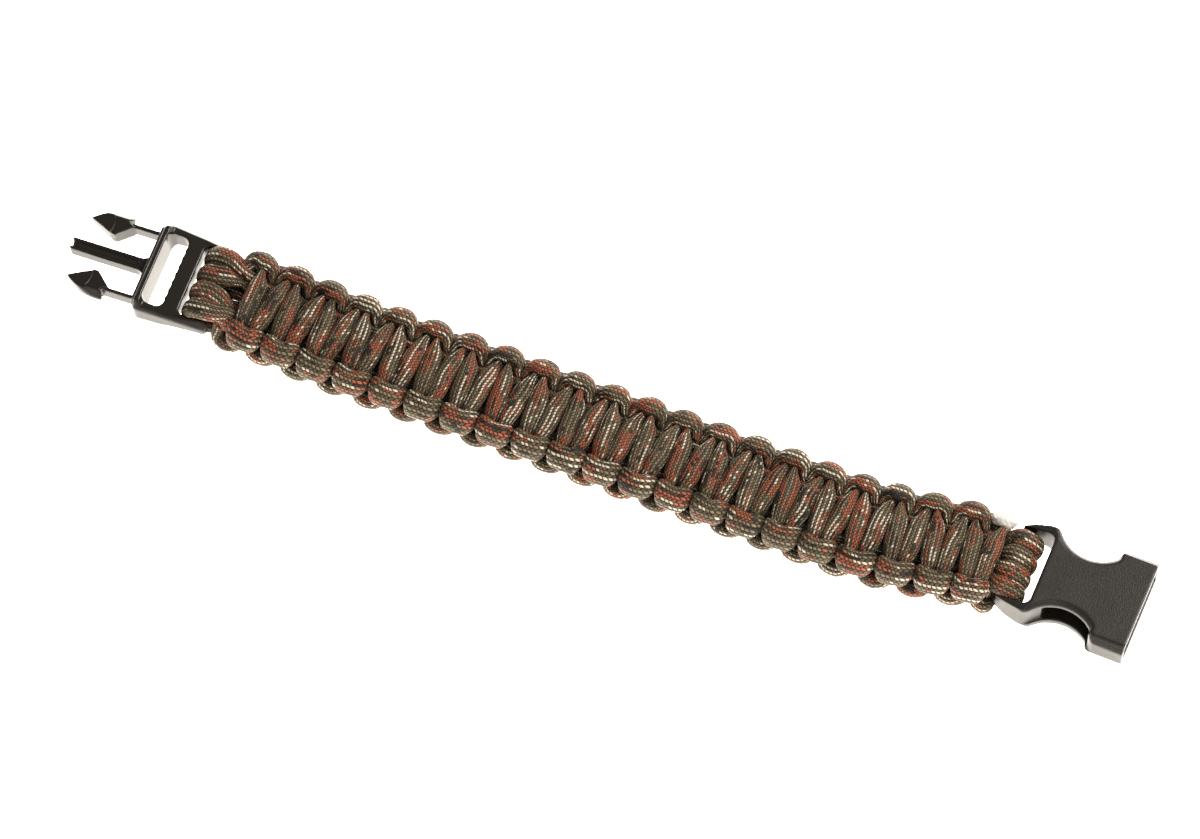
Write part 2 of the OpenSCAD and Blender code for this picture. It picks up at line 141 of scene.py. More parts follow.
# From an end bar to the core: distance in shares of the lead, then how far the
# height and the lane have gone over from the loop to the core
OUTER_TOP = [(0.30, 0.02, 0.20), (0.56, 0.20, 0.60), (0.80, 0.60, 0.75), (1.40, 1.00, 1.05)]
INNER_TOP = [(0.24, 0.20, -0.80), (0.44, 0.75, -1.80), (0.72, 1.05, -2.10), (1.40, 1.00, 1.00)]
OUTER_BOTTOM = [(0.30, 0.08, 0.20), (0.56, 0.45, 0.80), (0.78, 1.00, 1.20), (1.40, 1.00, 1.05)]
INNER_BOTTOM = [(0.26, 0.25, 0.15), (0.50, 0.85, 0.60), (0.72, 1.00, 0.90), (1.40, 1.00, 1.00)]
APPROACH_SOCKET = [(0.20, 0.08, 0.08), (0.45, 0.55, 0.50), (0.68, 1.00, 1.00), (1.60, 1.00, 1.00)]
CORE_GAP = 0.05
LOOP_T = 0.84 * CORD_D
LOOP_WIDE = 1.22 * CORD_D
CORE_T = 0.66 * CORD_D
CORE_WIDE = 0.76 * CORD_D
CORE_Z = CORE_T / 2 + CORE_GAP
LANE_BAR = (SLOT_W - 2 * CORE_GAP) / 8
# At the socket half the loops are pulled thinner, closer together and to one side
SOCKET_LOOP_T = 0.77 * CORD_D
SOCKET_LANE = 0.91
SOCKET_PULL = 0.4
LANE_CORE = CORE_WIDE / 2
# The straight run of a core strand: its distance from the bars in shares of
# the leads, and its step
RUN_START = 2.6
RUN_STEP = 22
# The melted end: half its length, its section in shares of the cord's, and the
# height and fineness of its lumps
MELTED_HALF = 2.8
MELTED_SECTION = 0.52
MELTED_LUMPS = ((0.16, 1.6), (0.06, 5.0))
# Camouflage yarns in the order they cover one another: radius and stretch of
# the noise that places their patches, its offset, how far the two yarn
# directions stand apart in it, the level that it has to pass, what is added to
# the level in every other column, and how ragged the patches' edges are
YARN_PATCHES = (
    ("Rust", 1.1, 0.12, 3.7, 0.3, 0.542, 0.02, 1.0),
    ("Black", 1.0, 0.13, 11.3, 0.5, 0.625, 0.0, 1.0),
    ("Beige", 1.6, 0.12, 23.9, 0.0, 0.57, 0.3, 1.3),
)
RAGGED = 0.08
# A stitch: how it slants in its column, how much of its cell it fills across
# and along, where full colour is reached, how dark the painted shade in its
# crease is and how light the painted highlight on its crown, and how much
# painted shade darkens the yarns of every other column, as if they faced away
# from the light
STITCH_SLANT = 0.4
STITCH_ACROSS = 2.0
STITCH_ALONG = 2.35
CREASE_END = 0.62
CREASE_DARK = 0.10
CREASE_LIGHT = 1.08
COLUMN_SHADE = 0.36
# How a cord's width swells and shrinks along it, and how fine that is
SWELL_FROM = 0.95
SWELL_TO = 1.05
SWELL_SCALE = 210.0
# Painted shade in the crevices: openness where it starts and ends, and its darkest share
SHADE_FROM = 0.12
SHADE_TO = 0.62
SHADE_DARK = 0.12
# Broad changes of the plastic's roughness: fineness, least and most added
BROAD_SCALE = 160.0
BROAD_LOW = -0.02
BROAD_HIGH = 0.03
# Depths of bump and reach of the painted crevice shade, in metres
STITCH_DEPTH = 0.00012
PRONG_GRAIN = 0.00001
SOCKET_GRAIN = 0.00007
CREVICE_REACH = 0.0024
# Floor: just under the lowest cord, and half its width in metres
FLOOR_Z = -0.15
FLOOR_HALF = 1.5
# Camera: angles in degrees, aim in millimetres, distance in metres, lens
CAMERA_AZIMUTH = 21.5
CAMERA_ELEVATION = 66
CAMERA_AIM = (-1.18, 1.13, 5.42)
CAMERA_AWAY = 4.0
CAMERA_LENS = 594


def mix(a, b, t):
    return a + (b - a) * t


def smooth(t):
    u = min(1.0, max(0.0, t))
    return u * u * (3 - 2 * u)


def drift(x):
    """Sideways place of the band's middle line."""
    prong = SIDE_PRONG * smooth((BAR_X1 + DRIFT_PRONG_L - x) / (DRIFT_PRONG_L + DRIFT_END))
    socket = SIDE_SOCKET * smooth((x - BAR_X2 + DRIFT_SOCKET_L) / (DRIFT_SOCKET_L + DRIFT_END))
    return prong + socket - CENTRE_Y


def lean(x):
    """Slope of the band's middle line."""
    return (drift(x + 1) - drift(x - 1)) / 2


def station(row, x, side, face):
    """A row of a knot table as (centre, outward, thick, wide); side is 1 at
    the +Y edge, face is 1 for the strand whose legs are on top."""
    along, across, height, angle, splay, thick, wide = row
    far = side > 0
    if face > 0 and height > LEG_HEIGHT:
        middle = math.copysign(0.5, along)
        along = middle + (along - middle) * (FAR_LEAN if far else NEAR_LEAN)
    if face > 0 and far and height > 0:
        wide *= 1 - FAR_PINCH * smooth((across - PINCH_FROM) / PINCH_OVER)
    if face < 0 and far and FOOT_FROM < height < FOOT_TO:
        across -= FAR_FOOT_IN
        wide *= FAR_FOOT_WIDE
    if face < 0 and SHOULDER_FROM < height < FOOT_FROM:
        wide *= FAR_SHOULDER if far else NEAR_SHOULDER
    x += along * HALF_KNOT
    y = side * across * BAND_W / 2
    angle = math.radians(angle)
    skewed = x - y * lean(x) + SKEW * (y + BAND_W / 2)
    rise = face * height * BAND_T / 2
    centre = Vector((skewed, y + drift(x) - SHEAR * rise, MIDDLE_Z + rise))
    level = math.sqrt(1 - splay ** 2)
    outward = Vector((splay, side * level * math.cos(angle), face * level * math.sin(angle)))
    return centre, outward, thick * CORD_D, wide * CORD_D


def stations(table, x, side, face):
    return [station(row, x, side, face) for row in table]


def mirrored(table):
    """A knot table run backwards, as the second half of a knot."""
    return [(-row[0],) + row[1:4] + (-row[4],) + row[5:] for row in reversed(table)]


def working_stations(face):
    """Every station of one working strand; face is 1 where its legs are on top."""
    side = face
    last_side = -side if HALF_KNOTS % 2 == 0 else side
    start = mirrored(TUCKED + DEEP_START) + [KNOT[-1]] + mirrored(KNOT[1:-1])
    whole = KNOT + mirrored(KNOT[1:-1])
    finish = KNOT + TUCKED[:1] if face > 0 else KNOT[: PASS_ROW + 1] + MELTED
    rings = stations(start, FIRST_LEG - HALF_KNOT / 2, -side, face)
    for k in range(HALF_KNOTS - 1):
        x = FIRST_LEG + (k + 0.5) * HALF_KNOT
        rings += stations(whole, x, side if k % 2 == 0 else -side, face)
    return rings + stations(finish, LAST_LEG + HALF_KNOT / 2, last_side, face)


def approach(table, lane, bar_x, bar_z, lead, towards, up):
    """The stations of a core strand between an end bar and its straight run."""
    loop_t, lane_bar, turn_r = loop_size(towards)
    rings = []
    for far, height, across in table:
        x = bar_x + towards * far * lead
        y = lane * mix(lane_bar, LANE_CORE, across) + drift(x)
        if towards < 0:
            y -= SOCKET_PULL * (1 - min(1, across))
        z = mix(bar_z + up * turn_r, MIDDLE_Z + up * CORE_Z, height)
        wide = mix(LOOP_WIDE, CORE_WIDE, min(1, max(height, across)))
        rings.append((Vector((x, y, z)), Vector((0, 0, up)), mix(loop_t, CORE_T, height), wide))
    return rings


def loop_size(towards):
    """Thickness, lane and radius of the loops round the prong half's bar (1) or
    the socket half's (-1)."""
    thick = LOOP_T if towards > 0 else SOCKET_LOOP_T
    lane = LANE_BAR if towards > 0 else LANE_BAR * SOCKET_LANE
    return thick, lane, BAR_R + thick / 2 + CORE_GAP


def turn(lane, bar_x, bar_z, towards):
    """The stations of a core strand's turn round an end bar."""
    loop_t, lane_bar, turn_r = loop_size(towards)
    rings = []
    for degrees in range(-90, 91, 45):
        a = math.radians(degrees)
        outward = Vector((-towards * math.cos(a), 0, math.sin(a)))
        pull = SOCKET_PULL if towards < 0 else 0
        middle = Vector((bar_x, lane * lane_bar + drift(bar_x) - pull, bar_z))
        centre = middle + turn_r * outward
        rings.append((centre, outward, loop_t, LOOP_WIDE))
    return rings


def run(lane, up):
    """The stations of a core strand from one end bar to the other."""
    inner = INNER_TOP if up > 0 else INNER_BOTTOM
    outer = OUTER_TOP if up > 0 else OUTER_BOTTOM
    first = outer if abs(lane) > 1 else inner
    x0 = BAR_X1 + RUN_START * LEAD_PRONG
    x1 = BAR_X2 - RUN_START * LEAD_SOCKET
    steps = round((x1 - x0) / RUN_STEP)
    middle = []
    for i in range(steps + 1):
        x = mix(x0, x1, i / steps)
        centre = Vector((x, lane * LANE_CORE + drift(x), MIDDLE_Z + up * CORE_Z))
        middle.append((centre, Vector((0, 0, up)), CORE_T, CORE_WIDE))
    last = approach(APPROACH_SOCKET, lane, BAR_X2, BAR_Z2, LEAD_SOCKET, -1, up)
    return approach(first, lane, BAR_X1, BAR_Z1, LEAD_PRONG, 1, up) + middle + last[::-1]


def core_stations(lane):
    """A core strand's loop round both bars, begun and ended out of sight in
    the middle of the band."""
    lower = run(lane, -1)[::-1]
    half = len(lower) // 2
    loop = lower[half:] + turn(lane, BAR_X1, BAR_Z1, 1) + run(lane, 1)
    return loop + turn(lane, BAR_X2, BAR_Z2, -1)[::-1] + lower[: half + 1]


class Tree:
    """A node tree under construction, with short ways to add its nodes."""

    def __init__(self, tree):
        self.tree = tree

    def add(self, kind, inputs=None, **settings):
        node = self.tree.nodes.new(kind)
        for name, value in settings.items():
            setattr(node, name, value)
        for key, value in (inputs or {}).items():
            self.give(node.inputs[key], value)
        return node

    def give(self, socket, value):
        if isinstance(value, bpy.types.NodeSocket):
            self.tree.links.new(value, socket)
        else:
            socket.default_value = value

    def math(self, operation, *values, clamp=False):
        inputs = dict(enumerate(values))
        return self.add("ShaderNodeMath", inputs, operation=operation, use_clamp=clamp).outputs[0]

    def vector(self, operation, *values, **named):
        node = self.add("ShaderNodeVectorMath", dict(enumerate(values)), operation=operation)
        for key, value in named.items():
            self.give(node.inputs[key], value)
        return node.outputs["Value" if operation in ("LENGTH", "DOT_PRODUCT") else "Vector"]

    def combine(self, x=0.0, y=0.0, z=0.0):
        return self.add("ShaderNodeCombineXYZ", {0: x, 1: y, 2: z}).outputs[0]

    def separate(self, vector):
        return self.add("ShaderNodeSeparateXYZ", {0: vector}).outputs

    def mix_colour(self, factor, a, b, blend="MIX"):
        node = self.add("ShaderNodeMix", data_type="RGBA", blend_type=blend)
        self.give(node.inputs[0], factor)
        self.give(node.inputs[6], a)
        self.give(node.inputs[7], b)
        return node.outputs[2]

    def range(self, value, low, high, to_low=0.0, to_high=1.0, kind="SMOOTHSTEP"):
        inputs = {0: value, 1: low, 2: high, 3: to_low, 4: to_high}
        return self.add("ShaderNodeMapRange", inputs, interpolation_type=kind).outputs[0]


def new_group(name, kind, sockets):
    """A node group with the given sockets: (name, IN or OUT, socket type, default)."""
    tree = bpy.data.node_groups.new(name, kind)
    for title, way, socket_type, default in sockets:
        in_out = "INPUT" if way == "IN" else "OUTPUT"
        socket = tree.interface.new_socket(title, in_out=in_out, socket_type=socket_type)
        if default is not None:
            socket.default_value = default
    build = Tree(tree)
    source = build.add("NodeGroupInput")
    sink = build.add("NodeGroupOutput")
    return build, source.outputs, sink.inputs


def braided_cord_tree():
    """Geometry Nodes that sweep a braided sheath along a guide line. The
    guide's points carry outward, thick and wide."""
    build, given, result = new_group("braided_cord", "GeometryNodeTree", [
        ("Guide", "IN", "NodeSocketGeometry", None),
        ("Rings", "IN", "NodeSocketInt", 1000),
        ("Sides", "IN", "NodeSocketInt", 24),
        ("Stitches", "IN", "NodeSocketFloat", 1000.0),
        ("Columns", "IN", "NodeSocketFloat", 26.0),
        ("Flatness", "IN", "NodeSocketFloat", 1.0),
        ("End Taper", "IN", "NodeSocketFloat", 0.0),
        ("Wander", "IN", "NodeSocketFloat", 0.0001),
        ("Twist", "IN", "NodeSocketFloat", 1.5),
        ("Seed", "IN", "NodeSocketFloat", 0.0),
        ("First Stitch", "IN", "NodeSocketFloat", 0.0),
        ("Material", "IN", "NodeSocketMaterial", None),
        ("Geometry", "OUT", "NodeSocketGeometry", None),
    ])
    curve = build.add("GeometryNodeMeshToCurve", {"Mesh": given["Guide"]}).outputs[0]
    curve = build.add("GeometryNodeCurveSplineType", {"Curve": curve},
                      spline_type="CATMULL_ROM").outputs[0]
    curve = build.add("GeometryNodeResampleCurve", {
        "Curve": curve, "Count": given["Rings"]}).outputs[0]

    # What each ring knows
    along = build.add("GeometryNodeSplineParameter").outputs["Factor"]
    values = {
        "centre": ("VECTOR", build.add("GeometryNodeInputPosition").outputs[0]),
        "tangent": ("VECTOR", build.add("GeometryNodeInputTangent").outputs[0]),
        "outward": ("VECTOR", named(build, "outward", "FLOAT_VECTOR")),
        "thick": ("FLOAT", named(build, "thick", "FLOAT")),
        "wide": ("FLOAT", named(build, "wide", "FLOAT")),
        "along": ("FLOAT", along),
    }
    capture = build.add("GeometryNodeCaptureAttribute", {"Geometry": curve}, domain="POINT")
    for name, (kind, _) in values.items():
        capture.capture_items.new(kind, name)
    ring = {}
    for name, (_, field) in values.items():
        build.give(capture.inputs[name], field)
        ring[name] = capture.outputs[name]
    curve = capture.outputs["Geometry"]

    # The section is an open line of points, closed once its coordinates are stored
    count = build.math("ADD", given["Sides"], 1.0)
    line = build.add("GeometryNodeCurvePrimitiveLine", {"End": (1.0, 0.0, 0.0)}).outputs[0]
    line = build.add("GeometryNodeResampleCurve", {"Curve": line, "Count": count}).outputs[0]
    around_capture = build.add("GeometryNodeCaptureAttribute", {"Geometry": line}, domain="POINT")
    around_capture.capture_items.new("FLOAT", "around")
    build.give(around_capture.inputs["around"],
               build.add("GeometryNodeSplineParameter").outputs["Factor"])
    around = around_capture.outputs["around"]
    swept = build.add("GeometryNodeCurveToMesh",
                      {"Curve": curve, "Profile Curve": around_capture.outputs["Geometry"]})
    mesh = swept.outputs[0]

    # Frame of the ring: n1 out of the knot, n2 across it
    lengthwise = build.vector("DOT_PRODUCT", ring["outward"], ring["tangent"])
    across_part = build.vector("SCALE", ring["tangent"], Scale=lengthwise)
    n1 = build.vector("NORMALIZE", build.vector("SUBTRACT", ring["outward"], across_part))
    n2 = build.vector("CROSS_PRODUCT", ring["tangent"], n1)

    # Squashed round section with its thin ends drawn to a point
    angle = build.math("MULTIPLY", around, 2 * math.pi)
    cosine = build.math("COSINE", angle)
    sine = build.math("SINE", angle)
    taper_in = build.math("DIVIDE", ring["along"], build.math("MAXIMUM", given["End Taper"], 1e-6))
    taper_out = build.math("DIVIDE", build.math("SUBTRACT", 1.0, ring["along"]),
                           build.math("MAXIMUM", given["End Taper"], 1e-6))
    nearest = build.math("MINIMUM", build.math("MINIMUM", taper_in, taper_out), 1.0, clamp=True)
    closing = build.math("SQRT", build.math("SUBTRACT", 1.0, build.math(
        "POWER", build.math("SUBTRACT", 1.0, nearest), 2.0), clamp=True))
    tapered = build.math("GREATER_THAN", given["End Taper"], 1e-5)
    closing = build.add("ShaderNodeMix", {0: tapered, 2: 1.0, 3: closing},
                        data_type="FLOAT").outputs[0]
    uneven = build.add("ShaderNodeTexNoise", {
        "Vector": ring["centre"], "W": given["Seed"], "Scale": SWELL_SCALE, "Detail": 1.0},
        noise_dimensions="4D").outputs
    swell = build.range(uneven[0], 0.25, 0.75, SWELL_FROM, SWELL_TO, kind="LINEAR")
    half_t = build.math("MULTIPLY", build.math("MULTIPLY", ring["thick"], 0.5), closing)
    half_w = build.math("MULTIPLY", build.math("MULTIPLY", ring["wide"], 0.5), closing)
    half_w = build.math("MULTIPLY", build.math("MULTIPLY", half_w, given["Flatness"]), swell)
    radial = build.vector(
        "ADD",
        build.vector("SCALE", n1, Scale=build.math("MULTIPLY", cosine, half_t)),
        build.vector("SCALE", n2, Scale=build.math("MULTIPLY", sine, half_w)))

    stitch = build.math("MULTIPLY", ring["along"], given["Stitches"])
    column = build.math("MULTIPLY", around, given["Columns"])
    turned = build.math("MULTIPLY", build.math("SUBTRACT", uneven[0], 0.5), given["Twist"])
    wobble = build.vector("SCALE", build.vector("SUBTRACT", uneven[1], (0.5, 0.5, 0.5)),
                          Scale=given["Wander"])
    place = build.vector("ADD", build.vector("ADD", ring["centre"], wobble), radial)
    mesh = build.add("GeometryNodeSetPosition", {"Geometry": mesh, "Position": place}).outputs[0]

    # The sheath's own coordinates: stitches along, columns around
    counted = build.math("ADD", stitch, given["First Stitch"])
    sheath = build.combine(counted, build.math("ADD", column, turned))
    mesh = build.add("GeometryNodeStoreNamedAttribute", {
        "Geometry": mesh, "Name": "sheath", "Value": sheath},
        data_type="FLOAT2", domain="CORNER").outputs[0]
    mesh = build.add("GeometryNodeMergeByDistance", {"Geometry": mesh, "Distance": 2e-6}).outputs[0]
    mesh = build.add("GeometryNodeSetShadeSmooth", {"Geometry": mesh}).outputs[0]
    mesh = build.add("GeometryNodeRealizeInstances", {"Geometry": mesh}).outputs[0]
    mesh = build.add("GeometryNodeSetMaterial", {
        "Geometry": mesh, "Material": given["Material"]}).outputs[0]
    build.give(result["Geometry"], mesh)
    return build.tree


def named(build, name, data_type):
    """The field of a named attribute."""
    return build.add("GeometryNodeInputNamedAttribute", {"Name": name},
                     data_type=data_type).outputs["Attribute"]


def guide_mesh(name, rings):
    """A line of points, each with its section, for the braided cord tree."""
    mesh = bpy.data.meshes.new(name)
    mesh.from_pydata([ring[0] * MM for ring in rings],
                     [(i, i + 1) for i in range(len(rings) - 1)], [])
    outward = mesh.attributes.new("outward", "FLOAT_VECTOR", "POINT")
    outward.data.foreach_set("vector", [c for ring in rings for c in ring[1]])
    for place, title in ((2, "thick"), (3, "wide")):
        values = mesh.attributes.new(title, "FLOAT", "POINT")
        values.data.foreach_set("value", [ring[place] * MM for ring in rings])
    return mesh


def route_length(rings):
    """Length of the smooth line through the stations, in millimetres."""
    total = 0.0
    centres = [ring[0] for ring in rings]
    padded = [centres[0]] + centres + [centres[-1]]
    for a, b, c, d in zip(padded, padded[1:], padded[2:], padded[3:]):
        before = b
        for step in range(1, 9):
            t = step / 8
            point = 0.5 * (2 * b + (c - a) * t + (2 * a - 5 * b + 4 * c - d) * t ** 2
                           + (3 * b - a - 3 * c + d) * t ** 3)
            total += (point - before).length
            before = point
    return total


def with_nodes(obj, tree, inputs):
    """obj with a Geometry Nodes modifier whose inputs are set by identifier."""
    modifier = obj.modifiers.new(tree.name, "NODES")
    modifier.node_group = tree
    for item in tree.interface.items_tree:
        if item.item_type == "SOCKET" and item.in_out == "INPUT" and item.name in inputs:
            modifier[item.identifier] = inputs[item.name]
    return modifier


def plain_mesh(obj, name):
    """What obj's modifiers make, as a new plain mesh."""
    graph = bpy.context.evaluated_depsgraph_get()
    graph.update()
    mesh = bpy.data.meshes.new_from_object(obj.evaluated_get(graph), depsgraph=graph)
    mesh.name = name
    return mesh


def add_object(name, mesh):
    obj = bpy.data.objects.new(name, mesh)
    bpy.context.scene.collection.objects.link(obj)
    return obj


def face_outward(mesh):
    """Turn a closed mesh's faces out if its volume comes out negative."""
    work = bmesh.new()
    work.from_mesh(mesh)
    if work.calc_volume(signed=True) < 0:
        bmesh.ops.reverse_faces(work, faces=work.faces)
    work.to_mesh(mesh)
    work.free()


def build_cord(node, rings, size, seed, taper, material):
    """One cord in place of its CAD node."""
    length = route_length(rings)
    obj = add_object(node + "_braid", guide_mesh(node + "_guide", rings))
    tree = bpy.data.node_groups.get("braided_cord") or braided_cord_tree()
    modifier = with_nodes(obj, tree, {
        "Rings": round(length / size.ring_step) + 1,
        "Sides": size.sides,
        "Stitches": length / size.stitch,
        "Columns": float(size.columns),
        "Flatness": size.flatness,
        "End Taper": taper / length,
        "Wander": size.wander,
        "Seed": seed,
        "First Stitch": seed * size.cut_step,
        "Material": material,
    })
    mesh = plain_mesh(obj, node + "_braid")
    obj.modifiers.remove(modifier)
    obj.data = mesh
    face_outward(mesh)
    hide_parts(node)
    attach(obj, BODY)


def camouflage_sheath():
    """Colour and height of a camouflage sheath from its stitches. The yarns of
    the two directions show in alternate columns. The colour carries painted
    shade in the stitches' creases and on every other column."""
    build, given, result = new_group("camouflage_sheath", "ShaderNodeTree", [
        ("Sheath", "IN", "NodeSocketVector", None),
        ("Columns", "IN", "NodeSocketFloat", 26.0),
        ("Seed", "IN", "NodeSocketFloat", 0.0),
        ("Olive", "IN", "NodeSocketColor", (0.10, 0.09, 0.05, 1)),
        ("Grey", "IN", "NodeSocketColor", (0.22, 0.20, 0.14, 1)),
        ("Black", "IN", "NodeSocketColor", (0.01, 0.01, 0.01, 1)),
        ("Rust", "IN", "NodeSocketColor", (0.36, 0.08, 0.035, 1)),
        ("Beige", "IN", "NodeSocketColor", (0.75, 0.68, 0.55, 1)),
        ("Color", "OUT", "NodeSocketColor", None),
        ("Height", "OUT", "NodeSocketFloat", None),
    ])
    u, v, _ = build.separate(given["Sheath"])
    column = build.math("FLOOR", v)
    across = build.math("SUBTRACT", build.math("SUBTRACT", v, column), 0.5)
    parity = build.math("FLOORED_MODULO", column, 2.0)
    way = build.math("SUBTRACT", build.math("MULTIPLY", parity, 2.0), 1.0)
    slant = build.math("MULTIPLY", build.math("MULTIPLY", across, way), STITCH_SLANT)
    shifted = build.math("ADD", build.math("ADD", u, build.math("MULTIPLY", parity, 0.5)), slant)
    row = build.math("FLOOR", shifted)
    along = build.math("SUBTRACT", build.math("SUBTRACT", shifted, row), 0.5)

    # A stitch is a small pillow
    over = build.math("SUBTRACT", 1.0, build.math("POWER", build.math(
        "ABSOLUTE", build.math("MULTIPLY", across, STITCH_ACROSS)), 2.0), clamp=True)
    down = build.math("SUBTRACT", 1.0, build.math("POWER", build.math(
        "ABSOLUTE", build.math("MULTIPLY", along, STITCH_ALONG)), 2.0), clamp=True)
    pillow = build.math("MULTIPLY", over, down)

    # Every stitch takes one yarn's colour, found at the stitch's middle
    turn_angle = build.math("DIVIDE", build.math("MULTIPLY", build.math(
        "ADD", column, 0.5), 2 * math.pi), given["Columns"])
    cosine = build.math("COSINE", turn_angle)
    sine = build.math("SINE", turn_angle)

    def patches(radius, stretch, offset, apart):
        """Noise round and along the cord, one value for each stitch."""
        place = build.combine(
            build.math("MULTIPLY", cosine, radius), build.math("MULTIPLY", sine, radius),
            build.math("MULTIPLY", row, stretch))
        shift = build.math("ADD", given["Seed"], build.math(
            "MULTIPLY_ADD", parity, apart, offset))
        return build.add("ShaderNodeTexNoise", {
            "Vector": place, "W": shift, "Scale": 1.0, "Detail": 1.0},
            noise_dimensions="4D").outputs[0]

    cell = build.combine(column, row, given["Seed"])
    chance = build.add("ShaderNodeTexWhiteNoise", {"Vector": cell},
                       noise_dimensions="3D").outputs["Value"]
    ragged = build.math("MULTIPLY", build.math("SUBTRACT", chance, 0.5), RAGGED)
    tone = build.math("ADD", build.math("MULTIPLY", chance, 0.5), build.math(
        "MULTIPLY", build.math("SUBTRACT", 1.0, parity), 0.5))
    colour = build.mix_colour(tone, given["Olive"], given["Grey"])
    for yarn, radius, stretch, offset, apart, level, added, rough in YARN_PATCHES:
        value = build.math("ADD", patches(radius, stretch, offset, apart),
                           build.math("MULTIPLY", ragged, rough))
        shown = build.math("GREATER_THAN", value,
                           build.math("MULTIPLY_ADD", parity, added, level))
        colour = build.mix_colour(shown, colour, given[yarn])

    # Painted shade: the creases between stitches are darkened and the crowns a little lightened,
    # and the yarns of every other column are darkened as if they faced away from the light
    painted_column_shade = build.math("MULTIPLY_ADD", parity, -COLUMN_SHADE, 1.0)
    painted_crease_shade = build.math("MULTIPLY", build.range(
        pillow, 0.0, CREASE_END, CREASE_DARK, CREASE_LIGHT), painted_column_shade)
    shade = build.add("ShaderNodeCombineColor", {0: painted_crease_shade, 1: painted_crease_shade, 2: painted_crease_shade}).outputs[0]
    build.give(result["Color"], build.mix_colour(1.0, colour, shade, "MULTIPLY"))
    build.give(result["Height"], pillow)
    return build.tree


def moulded_grain():
    """Fine grain of moulded nylon: a height and a roughness that vary."""
    build, given, result = new_group("moulded_grain", "ShaderNodeTree", [
        ("Grain Size", "IN", "NodeSocketFloat", 0.0003),
        ("Roughness", "IN", "NodeSocketFloat", 0.3),
        ("Height", "OUT", "NodeSocketFloat", None),
        ("Roughness", "OUT", "NodeSocketFloat", None),
    ])
    place = build.add("ShaderNodeTexCoord").outputs["Object"]
    fine = build.add("ShaderNodeTexNoise", {
        "Vector": place, "Scale": build.math("DIVIDE", 1.0, given["Grain Size"]),
        "Detail": 2.0}).outputs[0]
    broad = build.add("ShaderNodeTexNoise", {
        "Vector": place, "Scale": BROAD_SCALE, "Detail": 3.0}).outputs[0]
    build.give(result["Height"], fine)
    build.give(result["Roughness"], build.math("ADD", given["Roughness"], build.range(
        broad, 0.3, 0.7, BROAD_LOW, BROAD_HIGH)))
    return build.tree


def new_material(name):
    """A material with only a Principled shader, and its tree."""
    material = bpy.data.materials.new(name)
    material.use_nodes = True
    build = Tree(material.node_tree)
    shader = material.node_tree.nodes["Principled BSDF"]
    return material, build, shader


def group_node(build, name, make, inputs):
    """A node of the named shader group, which is made at its first use."""
    tree = bpy.data.node_groups.get(name) or make()
    node = build.add("ShaderNodeGroup")
    node.node_tree = tree
    for key, value in inputs.items():
        build.give(node.inputs[key], value)
    return node


def cord_material(colours, columns):
    """The material that all six cords share."""
    material = bpy.data.materials.get("camouflage_cord")
    if material:
        return material
    material, build, shader = new_material("camouflage_cord")
    sheath = build.add("ShaderNodeAttribute", attribute_name="sheath").outputs["Vector"]
    braid = group_node(build, "camouflage_sheath", camouflage_sheath, {
        "Sheath": sheath, "Columns": float(columns),
        "Olive": tuple(colours.olive) + (1,), "Grey": tuple(colours.grey) + (1,),
        "Black": tuple(colours.black) + (1,), "Rust": tuple(colours.rust) + (1,),
        "Beige": tuple(colours.beige) + (1,)})
    bump = build.add("ShaderNodeBump", {
        "Height": braid.outputs["Height"], "Strength": 0.8, "Distance": STITCH_DEPTH})
    # Painted shade: the crevices between the cords are darkened by how little open sky they see,
    # beyond the shade that the lights give
    open_sky = build.add("ShaderNodeAmbientOcclusion", {"Distance": CREVICE_REACH}, samples=4)
    painted_crevice_shade = build.range(open_sky.outputs["AO"], SHADE_FROM, SHADE_TO, SHADE_DARK, 1.0)
    shade = build.add("ShaderNodeCombineColor", {0: painted_crevice_shade, 1: painted_crevice_shade, 2: painted_crevice_shade}).outputs[0]
    build.give(shader.inputs["Base Color"], build.mix_colour(
        1.0, braid.outputs["Color"], shade, "MULTIPLY"))
    build.give(shader.inputs["Normal"], bump.outputs[0])
    shader.inputs["Roughness"].default_value = 0.62
    shader.inputs["Specular IOR Level"].default_value = 0.3
    shader.inputs["Sheen Weight"].default_value = 0.1
    shader.inputs["Sheen Roughness"].default_value = 0.35
    shader.inputs["Sheen Tint"].default_value = (1.0, 0.85, 0.66, 1)
    return material


def plastic_material(name, colours, roughness, grain_depth):
    material, build, shader = new_material(name)
    grain = group_node(build, "moulded_grain", moulded_grain, {"Roughness": roughness})
    bump = build.add("ShaderNodeBump", {
        "Height": grain.outputs["Height"], "Strength": 0.5, "Distance": grain_depth})
    build.give(shader.inputs["Roughness"], grain.outputs["Roughness"])
    build.give(shader.inputs["Normal"], bump.outputs[0])
    shader.inputs["Base Color"].default_value = tuple(colours.plastic) + (1,)
    shader.inputs["Specular IOR Level"].default_value = 0.34
    return material


def melted_material():
    material, build, shader = new_material("melted_nylon")
    place = build.add("ShaderNodeTexCoord").outputs["Object"]
    specks = build.add("ShaderNodeTexNoise", {
        "Vector": place, "Scale": 900.0, "Detail": 3.0}).outputs[0]
    dark = build.range(specks, 0.64, 0.74)
    colour = build.mix_colour(dark, (0.80, 0.77, 0.72, 1), (0.25, 0.22, 0.19, 1))
    bump = build.add("ShaderNodeBump", {"Height": specks, "Strength": 0.5, "Distance": 0.0002})
    build.give(shader.inputs["Base Color"], colour)
    build.give(shader.inputs["Normal"], bump.outputs[0])
    shader.inputs["Roughness"].default_value = 0.3
    return material


